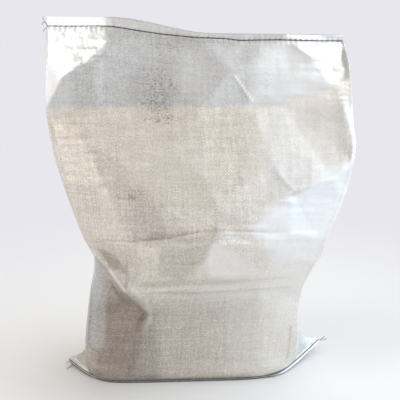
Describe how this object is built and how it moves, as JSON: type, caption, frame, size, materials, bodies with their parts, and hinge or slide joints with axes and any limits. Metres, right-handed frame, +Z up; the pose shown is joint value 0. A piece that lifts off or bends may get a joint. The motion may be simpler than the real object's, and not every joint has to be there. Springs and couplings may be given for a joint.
{
  "type": "filled woven cement sack",
  "caption": "Unprinted woven plastic sack of cement standing upright, full below, with a flat slack mouth and a bottom hem with ears, both closed by a row of stitching",
  "frame": {"origin": "middle of the bounding box's bottom, on the floor under the sack", "axes": "+Z up, from the base to the stitched mouth; +X to the right as the sack is seen from the front; +Y from the front to the back"},
  "size_m": [0.46, 0.211, 0.574],
  "materials": {
    "woven_fabric": "semi-gloss woven plastic tape, slightly see-through",
    "cement": "matt powder",
    "dark_thread": "matt thread"
  },
  "bodies": {
    "root": {"woven_sack": "woven_fabric", "cement_fill": "cement", "top_stitch": "dark_thread", "bottom_stitch": "dark_thread"}
  },
  "joints": []
}
